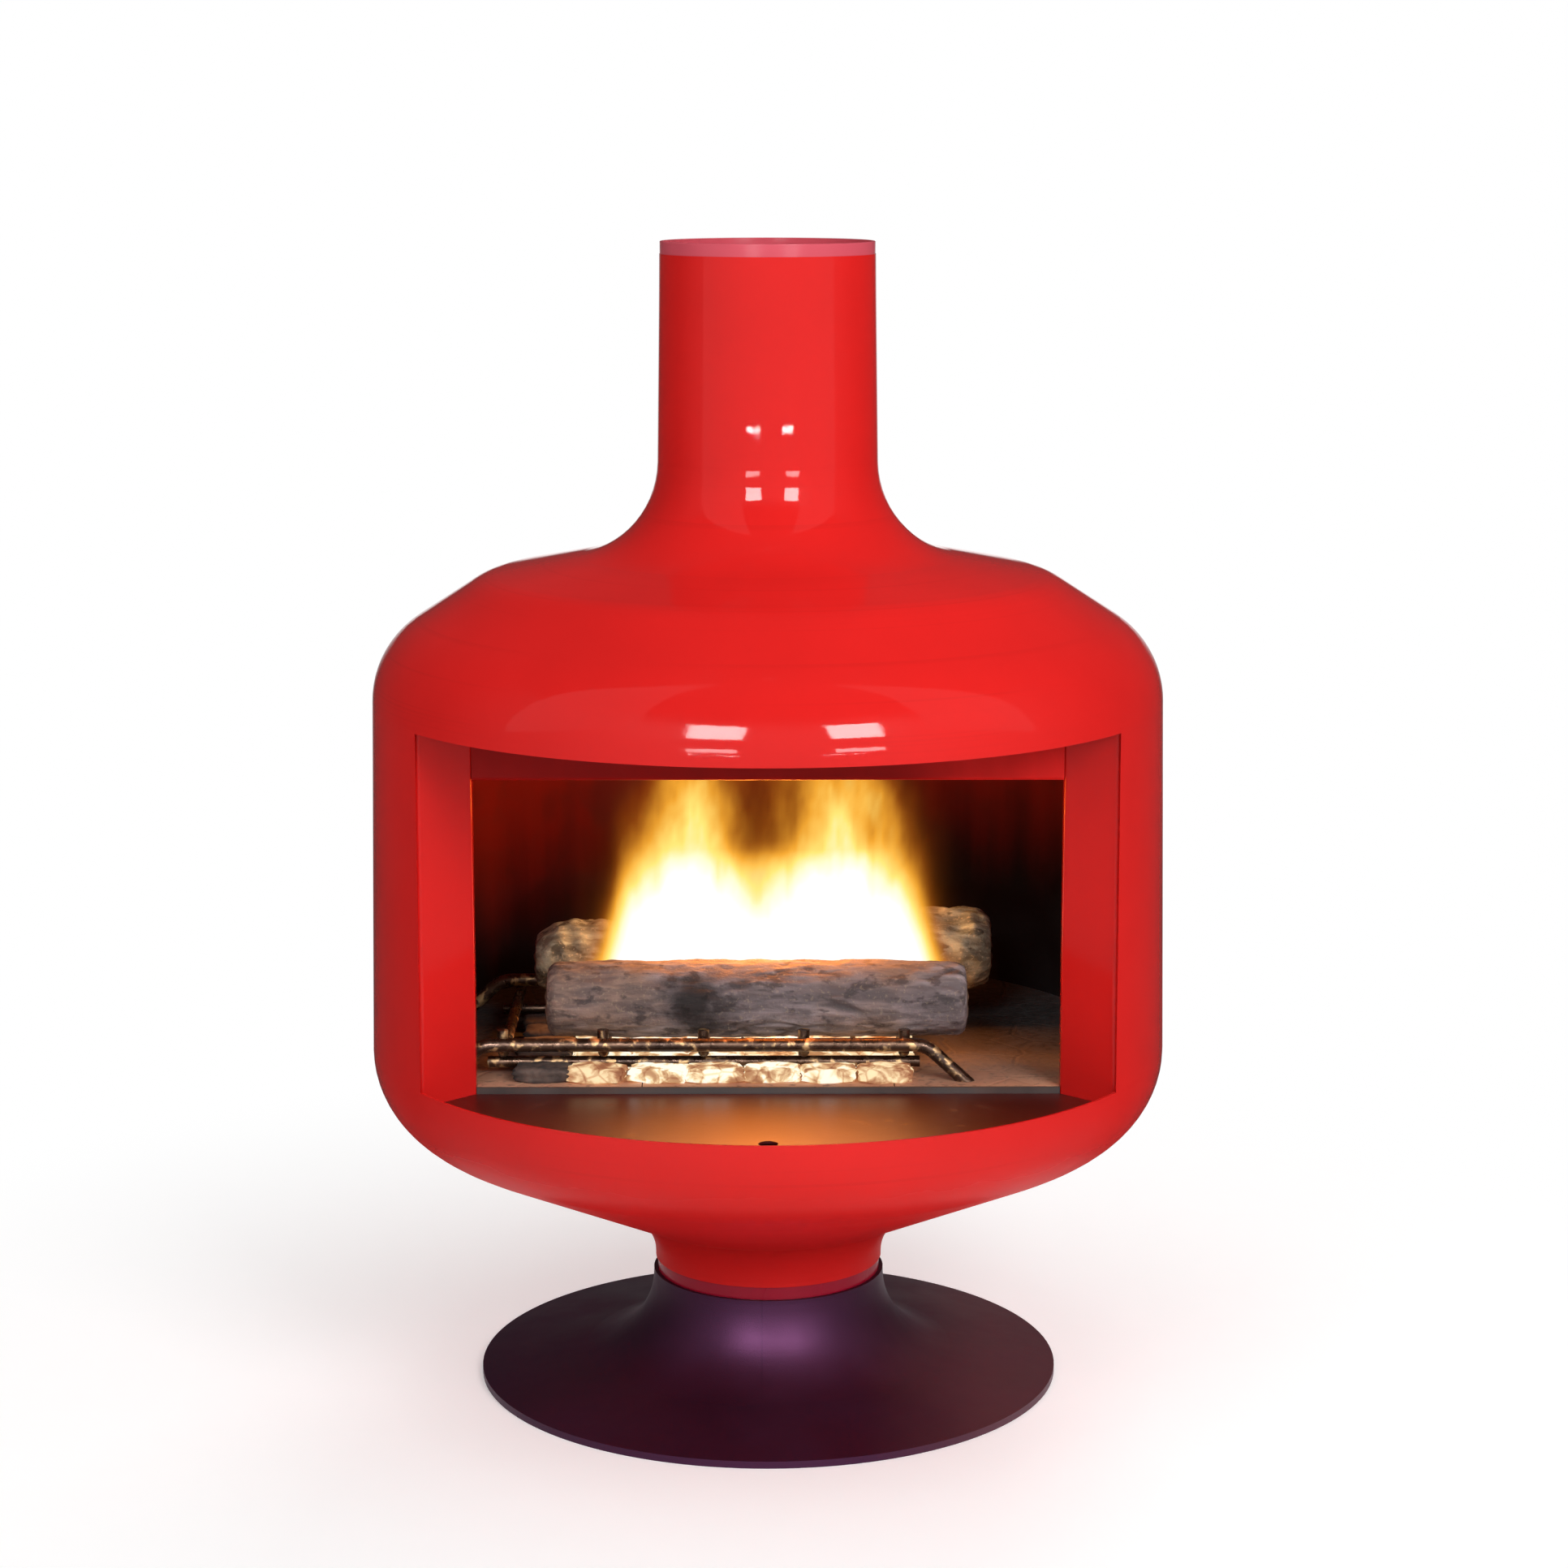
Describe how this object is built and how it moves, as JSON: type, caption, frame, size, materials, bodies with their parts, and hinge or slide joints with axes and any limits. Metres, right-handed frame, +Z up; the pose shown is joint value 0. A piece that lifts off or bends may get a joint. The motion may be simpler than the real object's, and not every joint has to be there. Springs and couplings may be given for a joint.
{
  "type": "wood burning stove",
  "caption": "Free-standing open-fronted wood stove: red enamelled drum between spun hood and bowl, tall flue neck, trumpet foot, grate with logs and a flue damper.",
  "frame": {"origin": "floor centre under the foot", "axes": "+Z up, front opening towards -Y, +X to the right seen from the front"},
  "size_m": [0.78, 0.78, 1.1229],
  "materials": {
    "red_enamel": "gloss",
    "collar_enamel": "gloss",
    "crimson_enamel": "gloss",
    "foot_paint": "satin",
    "hearth_enamel": "gloss",
    "black_steel": "matte",
    "refractory": "matte",
    "bright_steel": "satin",
    "cast_iron": "matte",
    "knob_plastic": "gloss",
    "bark": "matte",
    "ember": "matte"
  },
  "bodies": {
    "stove": {"base_flare": "foot_paint", "base_plate": "black_steel", "bowl": "red_enamel", "drum_shell": "red_enamel", "embers": "ember", "fireback": "black_steel", "fireback_screws": "bright_steel", "fireback_spacers": "bright_steel", "floor_plate": "black_steel", "flue_collar": "collar_enamel", "front_bush": "bright_steel", "hearth_edge": "black_steel", "hearth_slab_left": "refractory", "hearth_slab_middle": "refractory", "hearth_slab_right": "refractory", "hood_dome": "red_enamel", "hood_neck": "red_enamel", "left_jamb": "red_enamel", "lintel": "red_enamel", "pedestal_bolts": "bright_steel", "pedestal_nuts": "bright_steel", "pedestal_ring": "crimson_enamel", "rear_bush": "bright_steel", "right_jamb": "red_enamel"},
    "damper": {"damper_plate": "cast_iron", "damper_shaft": "bright_steel", "damper_screws": "bright_steel", "damper_lever": "bright_steel", "damper_knob": "knob_plastic"},
    "tray": {"hearth_tray": "hearth_enamel"},
    "grate": {"grate_front_rail": "cast_iron", "grate_rear_rail": "cast_iron", "grate_stretchers": "cast_iron", "grate_bars": "cast_iron", "front_log": "bark", "back_log": "bark"}
  },
  "joints": [
    {"name": "damper_turn", "type": "hinge", "parent": "stove", "child": "damper", "pos_m": [0, 0, 0.95687], "axis": [0, 1, 0], "range_deg": [0, 90]},
    {"name": "tray_lift", "type": "slide", "parent": "stove", "child": "tray", "axis": [0, 0, 1], "range_m": [0, 0.06]},
    {"name": "grate_lift", "type": "slide", "parent": "stove", "child": "grate", "axis": [0, 0, 1], "range_m": [0, 0.08]}
  ]
}
